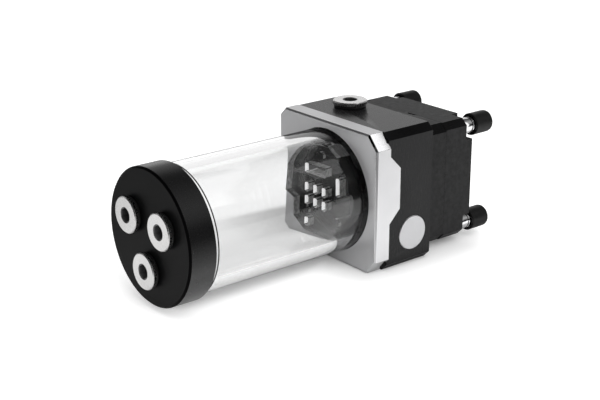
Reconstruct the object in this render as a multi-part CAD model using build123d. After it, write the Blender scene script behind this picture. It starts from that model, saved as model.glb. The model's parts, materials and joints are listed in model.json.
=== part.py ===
from build123d import *
import os
from math import asin, cos, degrees, radians, sin, sqrt

# Coolant pump with a clear tube reservoir, lying on its side. Millimetres.
# While it is built, X = 0 is the front face of the silver shell and the tube's
# axis is the X axis. The cap is towards -X, the pump and its feet towards +X,
# the side badge faces -Y and the plugged port of the block faces +Z.

# Reservoir tube
tube_outer = 60.0
tube_wall = 5.0
tube_showing = 87.25
tube_play = 0.1

# End cap
cap_wall = 1.8
cap_thickness = 13.6
cap_edge = 0.9
cap_grip = 8.0
cap_end_play = 0.2
seal_wire = 1.9
ring_corner = 0.28
cap_seal_setback = 3.5

# Screw ports and their plugs, standard quarter-inch parallel pipe thread
port_radius = 6.58
port_depth = 9.0
port_waterway = 5.2
port_circle = 15.0
port_turn = 31.0
plug_play = 0.08
plug_head_radius = 8.5
plug_head = 2.0
plug_edge = 0.35
plug_stem = 5.5
plug_key = 6.0
plug_key_depth = 3.8
gasket_thickness = 1.5
gasket_inset = 0.6
gasket_play = 0.05

# Block: silver shell over a black base
block_wall = 4.1
shell_side = 1.4
shell_depth = 8.6
shell_plate = 2.4
shell_lip = 1.5
shell_play = 0.1
shell_bevel = 0.8
shell_hole_play = 0.3
shell_badge_cut = (6.0, 6.9)
shell_far_cut = (4.3, 4.3)
tab_reach = 6.4
tab_centre = 6.8
tab_root = 33.0
tab_tip = 20.1
base_rear = 36.8
base_cut = 3.45

# Hollows of the base
tube_seat = 14.0
floor_step = 3.0
floor_rim_play = 0.1
base_seal_setback = 3.0
inlet_radius = 7.0
block_port_setback = 10.8
block_port_offset = 12.9
block_port_bottom = 9.0

# Shell screws, in the face that the block lies on
shell_screw_spacing = 40.0
shell_screw_radius = 1.25
shell_screw_head = 2.3
shell_screw_length = 6.0
shell_screw_sink = 1.1

# Side badge
badge_setback = 11.8
badge_drop = 17.9
badge_radius = 8.5
badge_thickness = 1.5
badge_proud = 0.3
badge_play = 0.1

# Clear flow baffle inside the tube
baffle_front = -7.5
baffle_thickness = 8.0
baffle_play = 0.6
baffle_corners = (-68, -44, -11, 24, 34, 53, 68)
baffle_step = 2.6
slot_width = 2.6
slot_height = 4.8
slot_pitch = 6.3
slot_corner = 0.7
slot_rows = (10.6, 0.8, -6.0, -17.6)
side_slot = (-15.1, 6.0)
post_radius = 2.0
post_inset = 8.0
post_sink = 3.0
post_play = 0.05

# Impeller and volute
impeller_width = 8.0
impeller_inset = 1.0
impeller_gap = 0.6
shroud_thickness = 1.0
hub_disc = 1.4
vane_count = 7
vane_thickness = 1.3
vane_sweep = 58.0
tongue_gap = 1.6
volute_rim = 1.6
volute_tongue = 75.0

# Spherical rotor, its can and its ceramic bearing
can_rim = 0.4
can_radius = 17.6
can_wall = 1.0
can_flange_inset = 1.6
can_flange_thickness = 2.2
can_play = 0.1
rotor_gap = 0.6
rotor_wall = 4.2
rotor_sweep = 38.0
ball_radius = 2.6
ball_play = 0.06
ball_post = 1.9
post_socket = 2.0
cup_wall = 1.7
volute_seal_inset = 1.9

# Pump flange and pump housing
pump_width = 60.2
flange_length = 13.2
flange_cut = 3.8
pry_slot = (1.2, 5.2, 1.5)
pry_slot_across = -6.3
housing_length = 18.15
housing_cut = 3.2
housing_wall = 2.6
ledge_depth = 4.25
ledge_size = 10.6
ledge_corner = 2.5
board_ledge = 3.5
housing_floor = 2.6

# Stator and board
stator_setback = 9.2
stator_length = 10.0
stator_seat = 2.1
stator_ring = 2.8
stator_play = 0.1
tooth_count = 6
tooth_width = 5.0
tooth_tip = 8.0
tooth_gap = 0.3
coil_build = 2.8
coil_length = 6.0
coil_gap = 1.8
coil_play = 0.1
board_thickness = 1.6
board_gap = 3.5
board_play = 0.2
capacitor_radius = 4.0
capacitor_place = (11.0, 8.0)
chip_size = (1.6, 7.0, 5.0)
chip_place = (-9.0, 8.0)

# Cable gland, bolts and feet
gland_setback = 5.0
gland_drop = 6.0
gland_radius = 4.0
gland_flange = 5.6
gland_proud = 2.5
gland_hole = 2.4
gland_play = 0.05
bolt_inset = 5.1
bolt_radius = 2.0
bolt_play = 0.1
bolt_in_base = 8.0
bolt_in_column = 5.0
column_radius = 4.0
column_showing = 7.2
foot_wall = 1.45
foot_length = 11.4
foot_end = 7.0
foot_play = 0.05
foot_round = 0.9

# Values that follow from the sizes above
tube_radius = tube_outer / 2
bore_radius = tube_radius - tube_wall
cap_radius = tube_radius + cap_wall
block_half = tube_radius + block_wall
shell_half = block_half + shell_play + shell_side
pump_half = pump_width / 2
bolt_half = pump_half - bolt_inset
cap_rear = -tube_showing
cap_front = cap_rear - cap_thickness
plug_proud = plug_head + gasket_thickness
gasket_radius = plug_head_radius - gasket_inset
seal_slot = seal_wire / 2 + gasket_play
floor_depth = tube_seat + floor_step
base_seal_at = tube_seat - base_seal_setback
block_port_at = base_rear - block_port_setback
badge_at = base_rear - badge_setback
baffle_radius = bore_radius - baffle_play
baffle_rear = baffle_front + baffle_thickness
post_circle = bore_radius - post_inset
sphere_centre = base_rear + can_rim
can_flange = pump_half - can_flange_inset
volute_seal_radius = can_flange - volute_seal_inset
impeller_radius = can_radius - impeller_inset
impeller_front = sphere_centre - impeller_width
volute_front = impeller_front - impeller_gap
volute_start = impeller_radius + tongue_gap
volute_end = volute_seal_radius - seal_slot - volute_rim
flange_rear = base_rear + flange_length
housing_rear = flange_rear + housing_length
ledge_at = housing_rear - ledge_depth
ledge_edge = pump_half - ledge_size
cavity_radius = pump_half - housing_wall
stator_front = base_rear + stator_setback
stator_rear = stator_front + stator_length
stator_radius = cavity_radius - 4 * stator_play
coil_outer = stator_radius - stator_ring - coil_gap
coil_inner = coil_outer - coil_length
board_rear = stator_rear + board_gap + board_thickness
gland_at = flange_rear + gland_setback
foot_radius = column_radius + foot_play + foot_wall
foot_front = ledge_at + column_showing
foot_rear = foot_front + foot_length
left_end = cap_front - plug_proud
to_row = Pos(-(left_end + foot_rear) / 2, 0, block_half)
min_length = (Align.CENTER, Align.CENTER, Align.MIN)


def rod(radius, start, end, y=0.0, z=0.0):
    """A cylinder along X between two stations."""
    return Pos(start, y, z) * Rot(0, 90, 0) * Cylinder(radius, end - start, align=min_length)


def pipe(outer, inner, start, end, y=0.0, z=0.0):
    return rod(outer, start, end, y, z) - rod(inner, start, end, y, z)


def ring(radius, wire, station):
    """A sealing ring about the tube's axis, squeezed to a rounded square in its slot."""
    half = wire / 2
    band = pipe(radius + half, radius - half, station - half, station + half)
    return chamfer(band.edges().filter_by(GeomType.CIRCLE), ring_corner * wire)


def slab(face, start, end):
    """A section drawn in Y and Z, carried along X."""
    return extrude(Plane.YZ.offset(start) * face, end - start)


def corners(half):
    return [(sy * half, sz * half) for sy in (-1, 1) for sz in (-1, 1)]


def cut_square(half_y, half_z, badge_cut, far_cut):
    """A section with cut corners: badge_cut on the -Y side, far_cut on the +Y side."""
    (by, bz), (fy, fz) = badge_cut, far_cut
    return make_face(Polyline(
        (-half_y, bz - half_z), (by - half_y, -half_z), (half_y - fy, -half_z),
        (half_y, fz - half_z), (half_y, half_z - fz), (half_y - fy, half_z),
        (by - half_y, half_z), (-half_y, half_z - bz), close=True))


def even_square(half, cut):
    return cut_square(half, half, (cut, cut), (cut, cut))


def inset_cut(cut, wall):
    """The legs of a corner cut on an outline that lies one wall further in."""
    return tuple(leg - (2 - sqrt(2)) * wall for leg in cut)


# Port plugs: each points along +Z at the origin, its port's face at Z = 0
def plug_body():
    head = Pos(0, 0, gasket_thickness) * Cylinder(plug_head_radius, plug_head, align=min_length)
    head = chamfer(head.edges().sort_by(Axis.Z)[-1], plug_edge)
    stem_radius = port_radius - plug_play
    stem = Pos(0, 0, -plug_stem) * Cylinder(stem_radius, plug_stem + plug_proud, align=min_length)
    body = head + stem
    body = chamfer(body.edges().sort_by(Axis.Z)[0], plug_edge)
    key = RegularPolygon(plug_key / 2, 6, major_radius=False)
    return body - extrude(Pos(0, 0, plug_proud - plug_key_depth) * key, plug_key_depth)


def plug_gasket():
    band = gasket_thickness - 2 * gasket_play
    inner = port_radius - plug_play + gasket_play
    washer = Pos(0, 0, gasket_play) * (
        Cylinder(gasket_radius, band, align=min_length) - Cylinder(inner, band, align=min_length))
    outer_edges = washer.edges().filter_by(GeomType.CIRCLE).sort_by(SortBy.RADIUS)[-2:]
    return chamfer(outer_edges, ring_corner * band)


def port_cutter():
    """Threaded port of a block, cut along -Z from its face at Z = 0."""
    return Pos(0, 0, -port_depth) * Cylinder(port_radius, port_depth, align=min_length)


cap_ports = [
    Pos(cap_front, port_circle * cos(radians(port_turn + a)), port_circle * sin(radians(port_turn + a)))
    * Rot(0, -90, 0) for a in (0, 120, 240)]
top_port = Pos(block_port_at, block_port_offset, block_half)
side_port = Pos(block_port_at, block_half, block_port_offset) * Rot(-90, 0, 0)


def end_cap():
    disc = rod(cap_radius, cap_front, cap_rear)
    disc = chamfer(disc.edges().sort_by(Axis.X)[0], cap_edge)
    groove = pipe(tube_radius + tube_play, bore_radius - tube_play, cap_rear - cap_grip, cap_rear)
    seal_floor = bore_radius - 2 * gasket_play - seal_wire
    seal_at = cap_rear - cap_seal_setback
    cap = disc - groove - pipe(bore_radius, seal_floor, seal_at - seal_slot, seal_at + seal_slot)
    for port in cap_ports:
        cap -= port * port_cutter()
        cap -= port * Pos(0, 0, -cap_thickness) * Cylinder(port_waterway, cap_thickness, align=min_length)
    return cap


def cap_seal():
    middle = bore_radius - gasket_play - seal_wire / 2
    return ring(middle, seal_wire, cap_rear - cap_seal_setback)


def reservoir_tube():
    start = cap_rear - cap_grip + cap_end_play
    return pipe(tube_radius, bore_radius, start, tube_seat)


def shell_inner(play):
    wall = shell_side + play
    lip = shell_lip + play
    return cut_square(shell_half - wall, block_half - lip,
                      inset_cut(shell_badge_cut, wall), inset_cut(shell_far_cut, wall))


def shell_screw_places():
    return [(shell_plate + (shell_depth - shell_plate) / 2, side * shell_screw_spacing / 2)
            for side in (-1, 1)]


def shell_screw(play):
    head = Pos(0, 0, -block_half) * Cone(
        shell_screw_head + play, shell_screw_radius + play, shell_screw_sink, align=min_length)
    shank = Pos(0, 0, -block_half) * Cylinder(
        shell_screw_radius + play, shell_screw_length + play, align=min_length)
    return head + shank


def front_shell():
    outer = slab(cut_square(shell_half, block_half, shell_badge_cut, shell_far_cut), 0, shell_depth)
    outer = chamfer(outer.faces().sort_by(Axis.X)[0].outer_wire().edges(), shell_bevel)
    shell = outer - slab(shell_inner(0), shell_plate, shell_depth)
    shell -= rod(tube_radius + shell_hole_play, 0, shell_plate)
    tab = make_face(Polyline(
        (shell_plate, tab_centre - tab_root / 2), (shell_depth, tab_centre - tab_root / 2),
        (shell_depth + tab_reach, tab_centre - tab_tip / 2), (shell_depth + tab_reach, tab_centre + tab_tip / 2),
        (shell_depth, tab_centre + tab_root / 2), (shell_plate, tab_centre + tab_root / 2), close=True))
    tab_inside = block_half + shell_play
    shell += extrude(Plane.XZ.offset(tab_inside) * tab, shell_half - tab_inside)
    for x, y in shell_screw_places():
        shell -= Pos(x, y, 0) * shell_screw(shell_play)
    return shell


def shell_screws():
    slot = Pos(0, 0, -block_half) * Cylinder(shell_screw_radius / 2, shell_screw_sink / 2, align=min_length)
    return [Pos(x, y, 0) * (shell_screw(0) - slot) for x, y in shell_screw_places()]


def volute_face():
    """A spiral that opens steadily from the tongue round to the discharge."""
    turns = range(0, 361, 30)
    reach = [(volute_start + (volute_end - volute_start) * a / 360, radians(volute_tongue + a)) for a in turns]
    points = [(r * cos(a), r * sin(a)) for r, a in reach]
    return make_face([Spline(*points), Line(points[-1], points[0])])


def pump_base():
    base = slab(even_square(block_half, base_cut), shell_depth, base_rear)
    base += slab(shell_inner(shell_play), shell_plate, shell_depth)
    base -= rod(tube_radius + tube_play, shell_plate, tube_seat)
    base -= rod(bore_radius - floor_rim_play, shell_plate, floor_depth)
    base -= rod(inlet_radius, floor_depth, base_rear)
    base -= rod(tube_radius + 2 * gasket_play + seal_wire, base_seal_at - seal_slot, base_seal_at + seal_slot)
    base -= slab(volute_face(), volute_front, base_rear)
    base -= top_port * port_cutter()
    base -= side_port * port_cutter()
    way = block_half - block_port_bottom
    base -= top_port * Pos(0, 0, -way) * Cylinder(port_waterway, way, align=min_length)
    base -= side_port * Pos(0, 0, -way) * Cylinder(port_waterway, way, align=min_length)
    base -= pipe(volute_seal_radius + seal_slot, volute_seal_radius - seal_slot, base_rear - seal_wire, base_rear)
    pocket = badge_thickness - badge_proud
    base -= Pos(badge_at, pocket - block_half, -badge_drop) * Rot(90, 0, 0) * Cylinder(
        badge_radius + badge_play, pocket, align=min_length)
    for y, z in corners(bolt_half):
        base -= rod(bolt_radius + bolt_play, base_rear - bolt_in_base - bolt_play, base_rear, y, z)
    for x, y in shell_screw_places():
        base -= Pos(x, y, 0) * shell_screw(shell_play)
    for place in post_places():
        base -= rod(post_radius + post_play, floor_depth, floor_depth + post_sink, *place)
    return base


def tube_seal():
    return ring(tube_radius + gasket_play + seal_wire / 2, seal_wire, base_seal_at)


def side_badge():
    front = block_half + badge_proud
    disc = Pos(badge_at, badge_thickness - front, -badge_drop) * Rot(90, 0, 0) * Cylinder(
        badge_radius, badge_thickness, align=min_length)
    return chamfer(disc.edges().sort_by(Axis.Y)[0], badge_proud)


def post_places():
    return [(post_circle * cos(radians(a)), post_circle * sin(radians(a))) for a in (-50, 90, 230)]


def baffle_slots():
    """A plain ladder of openings: width, height, centre Y, centre Z."""
    top, upper, lower, bottom = slot_rows
    long = 2 * slot_pitch + slot_width
    ladder = [(slot_width, slot_height, (1.2 - n) * slot_pitch, z) for n in range(3) for z in (upper, lower)]
    return ladder + [(long, slot_height, 0.2 * slot_pitch, top), (slot_width, slot_height, 1.2 * slot_pitch, bottom),
                     (slot_width, slot_height + 1.5 * slot_width, *side_slot)]


def flow_baffle():
    """Corners on a circle inside the tube, with a step in each side."""
    right = [(baffle_radius * cos(radians(a)), baffle_radius * sin(radians(a))) for a in baffle_corners]
    widest = sum(a < 0 for a in baffle_corners) - 1
    right.insert(widest, (right[widest - 1][0], right[widest][1] - baffle_step))
    left = [(-y, z) for y, z in reversed(right)]
    plate = slab(make_face(Polyline(*right, *left, close=True)), baffle_front, baffle_rear)
    for width, height, y, z in baffle_slots():
        slot = Pos(y, z) * RectangleRounded(width, height, slot_corner)
        plate -= slab(slot, baffle_front, baffle_rear)
    for place in post_places():
        plate -= rod(post_radius + post_play, baffle_rear - post_sink, baffle_rear, *place)
    return plate


def baffle_posts():
    return [rod(post_radius, baffle_rear - post_sink, floor_depth + post_sink, *place) for place in post_places()]


def volute_seal():
    return ring(volute_seal_radius, seal_wire - 2 * gasket_play, base_rear - seal_wire / 2)


def vane_section():
    """A backward-curved vane: a thick arc from the eye to the rim."""
    start = (inlet_radius - 0.2) * Vector(1, 0)
    turned = Vector(cos(radians(vane_sweep)), sin(radians(vane_sweep)))
    end = (impeller_radius - 0.1) * turned
    middle = 0.62 * impeller_radius * Vector(cos(radians(0.35 * vane_sweep)), sin(radians(0.35 * vane_sweep)))
    line = ThreePointArc(start, middle, end)
    return make_face([
        *offset(line, vane_thickness / 2, kind=Kind.ARC, closed=True).edges()])


def impeller():
    front_end = impeller_front + shroud_thickness
    disc_front = sphere_centre - hub_disc
    wheel = pipe(impeller_radius, inlet_radius, impeller_front, front_end)
    wheel += rod(impeller_radius, disc_front, sphere_centre)
    vane = slab(vane_section(), impeller_front, sphere_centre - hub_disc / 2)
    wheel += [Rot(360 * n / vane_count, 0, 0) * vane for n in range(vane_count)]
    wheel &= rod(impeller_radius, impeller_front, sphere_centre)
    return wheel - rod(ball_radius + ball_play + cup_wall, impeller_front, sphere_centre)


def spun(*edges):
    """A profile drawn as station and radius, turned about X."""
    return revolve(make_face(edges), Axis.X)


def on_ball(radius, angle):
    """Station and radius of a point on the rotor's sphere, angle from its rim."""
    return sphere_centre + radius * sin(radians(angle)), radius * cos(radians(angle))


def ball_arc(radius, start, end):
    """An arc on the rotor's sphere between two angles from its rim."""
    return ThreePointArc(*(on_ball(radius, a) for a in (start, (start + end) / 2, end)))


def rotor_magnet():
    outer = can_radius - rotor_gap
    inner = outer - rotor_wall
    return spun(ball_arc(outer, 0, rotor_sweep), Line(on_ball(outer, rotor_sweep), on_ball(inner, rotor_sweep)),
                ball_arc(inner, rotor_sweep, 0), Line(on_ball(inner, 0), on_ball(outer, 0)))


def bearing_cup():
    """Carbon socket in the hub, open towards the ball."""
    outer = ball_radius + ball_play + cup_wall
    front = sphere_centre - hub_disc - cup_wall - ball_radius
    cup = rod(outer - ball_play, front, sphere_centre)
    cup -= Pos(sphere_centre, 0, 0) * Sphere(ball_radius + ball_play)
    return cup


def bearing_ball():
    """Ceramic ball on its post, which stands on the bottom of the can."""
    post_end = sphere_centre + can_radius
    return Pos(sphere_centre, 0, 0) * Sphere(ball_radius) + rod(ball_post, sphere_centre, post_end)


def separator_can():
    """A flanged bowl that keeps the coolant off the stator."""
    rear = base_rear + can_flange_thickness
    outer = can_radius + can_wall
    rise = degrees(asin((rear - sphere_centre) / outer))
    rim = (base_rear, can_radius)
    bowl = spun(
        Polyline(rim, (base_rear, can_flange), (rear, can_flange), on_ball(outer, rise)),
        ball_arc(outer, rise, 90), Line(on_ball(outer, 90), on_ball(can_radius, 90)),
        ball_arc(can_radius, 90, 0), Line(on_ball(can_radius, 0), rim))
    bottom = sphere_centre + can_radius
    bowl += rod(ball_post + can_wall, bottom - post_socket, bottom + can_wall / 2)
    return bowl - rod(ball_post + ball_play, bottom - post_socket, bottom)


def bolt_holes(start, end):
    return [rod(bolt_radius + bolt_play, start, end, y, z) for y, z in corners(bolt_half)]


def pump_flange():
    body = slab(even_square(pump_half, flange_cut), base_rear, flange_rear)
    body -= rod(can_flange + can_play, base_rear, base_rear + can_flange_thickness)
    body -= rod(stator_radius - stator_seat, base_rear, flange_rear)
    body -= rod(stator_radius + stator_play, stator_front, flange_rear)
    length, _, depth = pry_slot
    body -= Pos(flange_rear - length, pry_slot_across, pump_half - depth) * Box(
        *pry_slot, align=(Align.MIN, Align.CENTER, Align.MIN))
    return body - bolt_holes(base_rear, flange_rear)


def pump_housing():
    body = slab(even_square(pump_half, housing_cut), flange_rear, housing_rear)
    for y, z in corners(pump_half):
        corner = Pos(y, z) * RectangleRounded(2 * ledge_size, 2 * ledge_size, ledge_corner)
        body -= slab(corner, ledge_at, housing_rear)
    body -= rod(cavity_radius, flange_rear, board_rear)
    body -= rod(cavity_radius - board_ledge, board_rear, housing_rear - housing_floor)
    gland = Pos(gland_at, 0, -gland_drop) * Rot(-90, 0, 0)
    body -= gland * Cylinder(gland_radius + gland_play, pump_half, align=min_length)
    return body - bolt_holes(flange_rear, ledge_at)


def cable_gland():
    at_side = Pos(gland_at, pump_half, -gland_drop) * Rot(-90, 0, 0)
    flange = Cylinder(gland_flange, gland_proud, align=min_length)
    flange = fillet(flange.edges().sort_by(Axis.Z)[-1], gland_proud / 2)
    neck = Pos(0, 0, -housing_wall) * Cylinder(gland_radius, housing_wall, align=min_length)
    body = at_side * (flange + neck)
    body -= at_side * Cylinder(gland_hole, gland_proud, align=min_length)
    return body - rod(cavity_radius, flange_rear, housing_rear)


def teeth(width, inner, outer, start, end):
    """Radial blocks, one for each pole of the stator."""
    block = Pos(start, inner, 0) * Box(end - start, outer - inner, width,
                                       align=(Align.MIN, Align.MIN, Align.CENTER))
    return [Rot(360 * n / tooth_count, 0, 0) * block for n in range(tooth_count)]


def stator_core():
    core = pipe(stator_radius, stator_radius - stator_ring, stator_front, stator_rear)
    core += teeth(tooth_width, tooth_tip, stator_radius - stator_ring / 2, stator_front, stator_rear)
    return core - Pos(sphere_centre, 0, 0) * Sphere(can_radius + can_wall + tooth_gap)


def stator_coils():
    clear = Pos(sphere_centre, 0, 0) * Sphere(can_radius + can_wall + 2 * tooth_gap)
    outside = teeth(tooth_width + 2 * coil_build, coil_inner, coil_outer, stator_front - coil_build,
                    stator_rear + coil_build)
    inside = teeth(tooth_width + 2 * coil_play, tooth_tip, stator_radius, stator_front - coil_play,
                   stator_rear + coil_play)
    return [whole - core - clear for whole, core in zip(outside, inside)]


def driver_board():
    return rod(cavity_radius - board_play, board_rear - board_thickness, board_rear)


def board_parts():
    """Smoothing capacitor and two driver chips on the back of the board."""
    room = housing_rear - housing_floor - board_rear
    drum = rod(capacitor_radius, board_rear, board_rear + 0.9 * room, *capacitor_place)
    y, z = chip_place
    chip = Box(*chip_size, align=(Align.MIN, Align.CENTER, Align.CENTER))
    return [drum] + [Pos(board_rear, y, side * z) * chip for side in (-1, 1)]


def pump_bolts():
    start, end = base_rear - bolt_in_base, ledge_at + bolt_in_column
    return [rod(bolt_radius, start, end, y, z) for y, z in corners(bolt_half)]


def foot_columns():
    end = foot_rear - foot_end
    column = rod(column_radius, ledge_at, end)
    column = chamfer(column.edges().filter_by(GeomType.CIRCLE), 0.3)
    column -= rod(bolt_radius + bolt_play, ledge_at, ledge_at + bolt_in_column + bolt_play)
    return [Pos(0, y, z) * column for y, z in corners(bolt_half)]


def rubber_feet():
    foot = rod(foot_radius, foot_front, foot_rear)
    foot = fillet(foot.edges().sort_by(Axis.X)[-1], foot_round)
    foot -= rod(column_radius + foot_play, foot_front, foot_rear - foot_end)
    rim = foot.faces().sort_by(Axis.X)[0].inner_wires()[0].edges()
    foot = chamfer(rim, 0.6)
    return [Pos(0, y, z) * foot for y, z in corners(bolt_half)]


def solids_of(shape):
    """Every separate solid of a piece or of a group of pieces."""
    if isinstance(shape, (list, tuple)):
        return [solid for item in shape for solid in item.solids()]
    return list(shape.solids())


pieces = {
    "end_cap": end_cap(), "cap_seal": cap_seal(), "reservoir_tube": reservoir_tube(),
    "tube_seal": tube_seal(), "front_shell": front_shell(), "shell_screws": shell_screws(),
    "pump_base": pump_base(), "side_badge": side_badge(), "flow_baffle": flow_baffle(),
    "baffle_posts": baffle_posts(), "volute_seal": volute_seal(), "impeller": impeller(),
    "rotor_magnet": rotor_magnet(), "bearing_cup": bearing_cup(), "bearing_ball": bearing_ball(),
    "separator_can": separator_can(), "stator_core": stator_core(), "stator_coils": stator_coils(),
    "driver_board": driver_board(), "board_parts": board_parts(), "pump_flange": pump_flange(),
    "pump_housing": pump_housing(), "cable_gland": cable_gland(), "pump_bolts": pump_bolts(),
    "foot_columns": foot_columns(), "rubber_feet": rubber_feet(),
    "top_plug": top_port * plug_body(), "top_plug_gasket": top_port * plug_gasket(),
}
for number, port in enumerate(cap_ports, 1):
    pieces[f"cap_plug_{number}"] = port * plug_body()
    pieces[f"cap_plug_gasket_{number}"] = port * plug_gasket()

os.makedirs("parts", exist_ok=True)
for name, piece in pieces.items():
    placed = [to_row * solid for solid in solids_of(piece)]
    export_step(placed[0] if len(placed) == 1 else Compound(children=placed), f"parts/{name}.step")
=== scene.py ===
import bpy
import bmesh
import json
import numpy as np
from math import radians, tau
from mathutils import Matrix, Vector

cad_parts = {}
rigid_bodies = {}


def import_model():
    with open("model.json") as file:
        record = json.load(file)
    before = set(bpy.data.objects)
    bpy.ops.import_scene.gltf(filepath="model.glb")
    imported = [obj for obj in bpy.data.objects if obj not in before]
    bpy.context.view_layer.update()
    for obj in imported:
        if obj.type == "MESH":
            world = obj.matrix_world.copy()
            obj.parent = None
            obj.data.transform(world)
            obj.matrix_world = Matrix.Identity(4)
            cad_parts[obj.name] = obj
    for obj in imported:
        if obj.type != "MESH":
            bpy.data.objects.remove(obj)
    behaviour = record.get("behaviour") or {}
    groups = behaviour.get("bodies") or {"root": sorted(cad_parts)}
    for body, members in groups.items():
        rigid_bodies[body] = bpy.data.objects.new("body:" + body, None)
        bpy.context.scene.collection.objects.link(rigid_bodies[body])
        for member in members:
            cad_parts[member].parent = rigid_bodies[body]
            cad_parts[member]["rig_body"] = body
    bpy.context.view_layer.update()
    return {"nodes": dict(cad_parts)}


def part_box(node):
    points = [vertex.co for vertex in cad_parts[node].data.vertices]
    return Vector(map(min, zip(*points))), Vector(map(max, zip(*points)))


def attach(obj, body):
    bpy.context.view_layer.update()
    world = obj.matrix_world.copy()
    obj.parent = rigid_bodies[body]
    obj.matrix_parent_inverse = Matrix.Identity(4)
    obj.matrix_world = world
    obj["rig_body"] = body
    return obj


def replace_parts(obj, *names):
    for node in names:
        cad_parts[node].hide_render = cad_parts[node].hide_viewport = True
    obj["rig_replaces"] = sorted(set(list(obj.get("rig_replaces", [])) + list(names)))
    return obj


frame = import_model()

mm = 0.001
axisHeight = 34.1      # tube axis above the floor, mm
frontFace = 10.925     # station of the silver shell's front face, mm
axisPoint = (0, 0, axisHeight)
print("frame loaded:", len(frame["nodes"]), "nodes")


def axisFrame(axis):
    # a right-handed set (along, first, second) for each direction that a piece is turned about
    sets = {
        "+x": ((1, 0, 0), (0, 1, 0), (0, 0, 1)),
        "-x": ((-1, 0, 0), (0, 1, 0), (0, 0, -1)),
        "+y": ((0, 1, 0), (0, 0, 1), (1, 0, 0)),
        "+z": ((0, 0, 1), (1, 0, 0), (0, 1, 0)),
    }
    return [np.array(v, float) for v in sets[axis]]


def turnedPoints(along, radius, angle, origin, axis):
    # point = origin + along * a + radius * (cos(angle) * first + sin(angle) * second), in mm
    a, first, second = axisFrame(axis)
    along, radius, angle = np.broadcast_arrays(along, radius, angle)
    out = along[..., None] * a
    out = out + (radius * np.cos(angle))[..., None] * first + (radius * np.sin(angle))[..., None] * second
    return out + np.array(origin, float)


def gridFaces(rows, cols, closeRows):
    # quads between neighbouring rows; columns always close on themselves
    last = rows if closeRows else rows - 1
    r = np.arange(last)[:, None]
    c = np.arange(cols)[None, :]
    r2, c2 = (r + 1) % rows, (c + 1) % cols
    quads = np.stack([r * cols + c, r * cols + c2, r2 * cols + c2, r2 * cols + c], -1)
    return quads.reshape(-1, 4)


def surfacePiece(name, grids, sharpAngle=28):
    # one mesh from grids of points (rows, columns, 3) in mm; a row with no radius becomes a pole
    verts, faces, start = [], [], 0
    for points, closeRows in grids:
        rows, cols = points.shape[:2]
        verts.append(points.reshape(-1, 3) * mm)
        faces.append(gridFaces(rows, cols, closeRows) + start)
        start += rows * cols
    mesh = bpy.data.meshes.new(name)
    mesh.from_pydata(np.concatenate(verts).tolist(), [], np.concatenate(faces).tolist())
    tidyMesh(mesh, sharpAngle)
    piece = bpy.data.objects.new(name, mesh)
    bpy.context.scene.collection.objects.link(piece)
    return piece


meshGaps = {"weld": 2e-7, "sliver": 1e-8}  # metres


def tidyMesh(mesh, sharpAngle):
    work = bmesh.new()
    work.from_mesh(mesh)
    bmesh.ops.remove_doubles(work, verts=work.verts, dist=meshGaps["weld"])
    bmesh.ops.dissolve_degenerate(work, edges=work.edges, dist=meshGaps["sliver"])
    bmesh.ops.recalc_face_normals(work, faces=work.faces)
    work.to_mesh(mesh)
    work.free()
    mesh.shade_smooth()
    mesh.set_sharp_from_angle(angle=radians(sharpAngle))


def turnedGrid(profile, columns, origin, axis):
    # surface of revolution: profile rows (along, radius) carried round the axis
    profile = np.array(profile, float)
    angle = np.arange(columns) * tau / columns
    return turnedPoints(profile[:, 0, None], profile[:, 1, None], angle[None, :], origin, axis)


cornerShare = 0.45  # the most of a side that one rounded corner takes


def roundedProfile(corners, fillet, steps, closed=True):
    # corner p of an (along, radius) outline becomes (1 - t)^2 a + 2 t (1 - t) p + t^2 b,
    # where a and b lie at the fillet's reach along its two sides
    pts = np.array(corners, float)
    count = len(pts)
    out = []
    for i, p in enumerate(pts):
        if not closed and i in (0, count - 1) or p[1] == 0:
            out.append(p)
            continue
        before, after = pts[i - 1] - p, pts[(i + 1) % count] - p
        reach = min(fillet, cornerShare * np.hypot(*before), cornerShare * np.hypot(*after))
        a = p + before / np.hypot(*before) * reach
        b = p + after / np.hypot(*after) * reach
        t = np.linspace(0, 1, steps + 1)[:, None]
        out.extend((1 - t) ** 2 * a + 2 * t * (1 - t) * p + t ** 2 * b)
    return np.array(out)


def paintFaces(piece, material, test):
    # the material on each face whose normal, centre and distance from the tube's axis pass the test;
    # the centre is in mm from the shell's front and the axis
    materials = piece.data.materials
    if material.name not in materials:
        materials.append(material)
    number = materials.find(material.name)
    for face in piece.data.polygons:
        x, y, z = face.center / mm
        centre = Vector((x - frontFace, y, z - axisHeight))
        if test(face.normal, centre, np.hypot(centre.y, centre.z)):
            face.material_index = number


def finish(piece, body, material, nodes=()):
    piece.data.materials.clear()
    piece.data.materials.append(material)
    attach(piece, body)
    if nodes:
        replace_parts(piece, *nodes)


# shader helpers
def nodeIn(tree, kind, **values):
    node = tree.nodes.new(kind)
    for key, value in values.items():
        setattr(node, key, value)
    return node


def link(tree, source, target):
    tree.links.new(source, target)


def feed(tree, value, target):
    # a number is set on the socket, another node's output is linked to it
    if isinstance(value, (int, float)):
        target.default_value = value
    else:
        link(tree, value, target)


def mathNode(tree, operation, first, second=None, third=None, clamp=False):
    node = nodeIn(tree, "ShaderNodeMath", operation=operation, use_clamp=clamp)
    for value, target in zip((first, second, third), node.inputs):
        if value is not None:
            feed(tree, value, target)
    return node.outputs[0]


def product(tree, total, *others):
    for other in others:
        total = mathNode(tree, "MULTIPLY", total, other)
    return total


def largest(tree, total, *others):
    for other in others:
        total = mathNode(tree, "MAXIMUM", total, other)
    return total


def inverse(tree, value):
    return mathNode(tree, "SUBTRACT", 1.0, value)


def mapRange(tree, value, low, high, first, last, kind="SMOOTHSTEP"):
    node = nodeIn(tree, "ShaderNodeMapRange", interpolation_type=kind)
    link(tree, value, node.inputs["Value"])
    for label, number in (("From Min", low), ("From Max", high), ("To Min", first), ("To Max", last)):
        node.inputs[label].default_value = number
    return node.outputs[0]


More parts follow.
